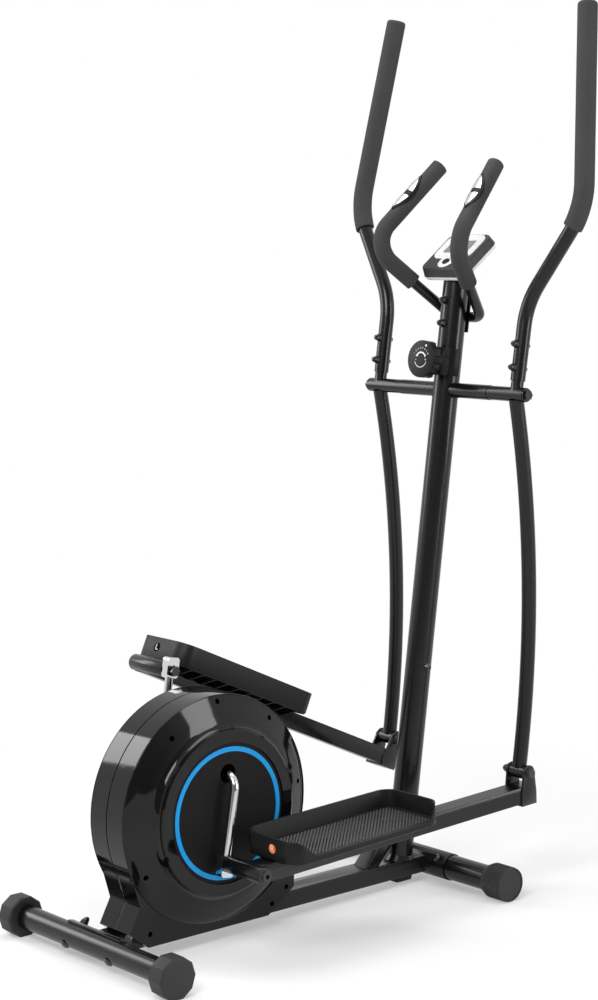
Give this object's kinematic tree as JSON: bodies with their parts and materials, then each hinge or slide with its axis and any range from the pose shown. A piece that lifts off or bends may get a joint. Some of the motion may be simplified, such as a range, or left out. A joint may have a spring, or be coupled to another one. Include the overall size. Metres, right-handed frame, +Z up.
{
  "type": "elliptical trainer",
  "caption": "Free-standing elliptical cross trainer with a round drive housing, a bent crank, foot trays on long arms, swinging handlebars and a leaning console post.",
  "frame": {"origin": "centre of the bounding box, on the floor", "axes": "+X forward (towards the console post), +Y to the user's left, +Z up"},
  "size_m": [1.0153, 0.619, 1.6738],
  "materials": {
    "satin_black": "satin paint",
    "foot_rubber": "matt",
    "bright_steel": "brushed",
    "dark_bolts": "black zinc",
    "gloss_black": "gloss",
    "disc_black": "fine matt grain",
    "ring_blue": "gloss",
    "belt_rubber": "matt",
    "grey_plastic": "fine grain",
    "foam": "matt foam",
    "sensor_chrome": "bright",
    "white_plastic": "semi gloss",
    "bezel_grey": "fine grain",
    "silver_plastic": "silver paint",
    "screen": "clear window over a grey-green display",
    "crank_chrome": "bright",
    "cast_iron": "turned",
    "cap_grey": "fine grain",
    "bush_grey": "plain",
    "tray_black": "fine grain"
  },
  "bodies": {
    "frame": {"base_rail": "satin_black", "rail_foot": "foot_rubber", "lower_post": "satin_black", "upper_post": "satin_black", "crank_mast": "satin_black", "bearings": "bright_steel", "rear_stabiliser": "satin_black", "front_stabiliser": "satin_black", "stabiliser_bolts": "dark_bolts", "right_housing": "gloss_black", "left_housing": "gloss_black", "right_disc_cover": "disc_black", "left_disc_cover": "disc_black", "ring_trims": "ring_blue", "housing_screws": "dark_bolts", "drive_belt": "belt_rubber", "tension_cable": "bright_steel", "post_bolts": "dark_bolts", "cross_axle": "satin_black", "axle_bolts": "dark_bolts", "dial_base": "grey_plastic", "pulse_bar": "satin_black", "pulse_grips": "foam", "sensor_holders": "grey_plastic", "sensor_plates": "sensor_chrome", "console_back": "white_plastic", "console_bezel": "bezel_grey", "console_face": "silver_plastic", "console_screen": "screen"},
    "crank": {"crank": "crank_chrome", "crank_bolts": "dark_bolts", "crank_pulley": "cast_iron"},
    "flywheel": {"flywheel": "cast_iron"},
    "brake": {"magnet_arm": "bright_steel", "magnets": "bright_steel"},
    "dial": {"tension_dial": "grey_plastic"},
    "button": {"console_button": "grey_plastic"},
    "right_cap": {"right_levelling_cap": "cap_grey"},
    "right_roller": {"right_roller_cap": "cap_grey"},
    "right_handle": {"right_lower_handle": "satin_black", "right_axle_bushes": "bush_grey", "right_knee_bushes": "bush_grey", "right_upper_handle": "satin_black", "right_hand_grip": "foam", "right_handle_bolts": "dark_bolts"},
    "right_pedal": {"right_pedal_arm": "satin_black", "right_foot_tray": "tray_black", "right_pedal_bolts": "dark_bolts"},
    "left_cap": {"left_levelling_cap": "cap_grey"},
    "left_roller": {"left_roller_cap": "cap_grey"},
    "left_handle": {"left_lower_handle": "satin_black", "left_axle_bushes": "bush_grey", "left_knee_bushes": "bush_grey", "left_upper_handle": "satin_black", "left_hand_grip": "foam", "left_handle_bolts": "dark_bolts"},
    "left_pedal": {"left_pedal_arm": "satin_black", "left_foot_tray": "tray_black", "left_pedal_bolts": "dark_bolts"}
  },
  "joints": [
    {"name": "crank_turn", "type": "hinge", "parent": "frame", "child": "crank", "pos_m": [-0.23917, 0, 0.313], "axis": [0, 1, 0], "continuous": true},
    {"name": "flywheel_spin", "type": "hinge", "parent": "frame", "child": "flywheel", "pos_m": [-0.23917, 0, 0.158], "axis": [0, 1, 0], "continuous": true},
    {"name": "tension_dial_turn", "type": "hinge", "parent": "frame", "child": "dial", "pos_m": [0.33057, 0, 1.00886], "axis": [-0.9915, 0, 0.1297], "range_deg": [0, 270]},
    {"name": "brake_swing", "type": "hinge", "parent": "frame", "child": "brake", "pos_m": [-0.14317, 0, 0.078], "axis": [0, 1, 0], "range_deg": [0, 8]},
    {"name": "console_button_press", "type": "slide", "parent": "frame", "child": "button", "axis": [0.6018, 0, -0.7986], "range_m": [0, 0.0012], "stiffness_N_per_m": 800},
    {"name": "right_cap_turn", "type": "hinge", "parent": "frame", "child": "right_cap", "pos_m": [-0.46767, -0.21875, 0.0356], "axis": [0, 1, 0], "range_deg": [-180, 180]},
    {"name": "left_cap_turn", "type": "hinge", "parent": "frame", "child": "left_cap", "pos_m": [-0.46767, 0.21875, 0.0356], "axis": [0, 1, 0], "range_deg": [-180, 180]},
    {"name": "right_roller_spin", "type": "hinge", "parent": "frame", "child": "right_roller", "pos_m": [0.32483, -0.207, 0.0333], "axis": [0, 1, 0], "continuous": true},
    {"name": "left_roller_spin", "type": "hinge", "parent": "frame", "child": "left_roller", "pos_m": [0.32483, 0.207, 0.0333], "axis": [0, 1, 0], "continuous": true},
    {"name": "right_handle_swing", "type": "hinge", "parent": "frame", "child": "right_handle", "pos_m": [0.37733, -0.163, 0.95], "axis": [0, 1, 0], "range_deg": [-12, 12]},
    {"name": "left_handle_swing", "type": "hinge", "parent": "frame", "child": "left_handle", "pos_m": [0.37733, 0.163, 0.95], "axis": [0, 1, 0], "range_deg": [-12, 12]},
    {"name": "right_pedal_hinge", "type": "hinge", "parent": "right_handle", "child": "right_pedal", "pos_m": [0.39883, -0.186, 0.23082], "axis": [0, 1, 0], "range_deg": [-12, 12]},
    {"name": "left_pedal_hinge", "type": "hinge", "parent": "left_handle", "child": "left_pedal", "pos_m": [0.40954, 0.186, 0.23122], "axis": [0, 1, 0], "range_deg": [-12, 12]}
  ],
  "couplings": [
    {"joint": "flywheel_spin", "follows": "crank_turn", "ratio": 5.0909},
    {"joint": "brake_swing", "follows": "tension_dial_turn", "ratio": 0.029629},
    {"joint": "left_handle_swing", "follows": "right_handle_swing", "ratio": -1},
    {"joint": "right_pedal_hinge", "follows": "right_handle_swing", "ratio": -1},
    {"joint": "left_pedal_hinge", "follows": "right_handle_swing", "ratio": 1}
  ]
}
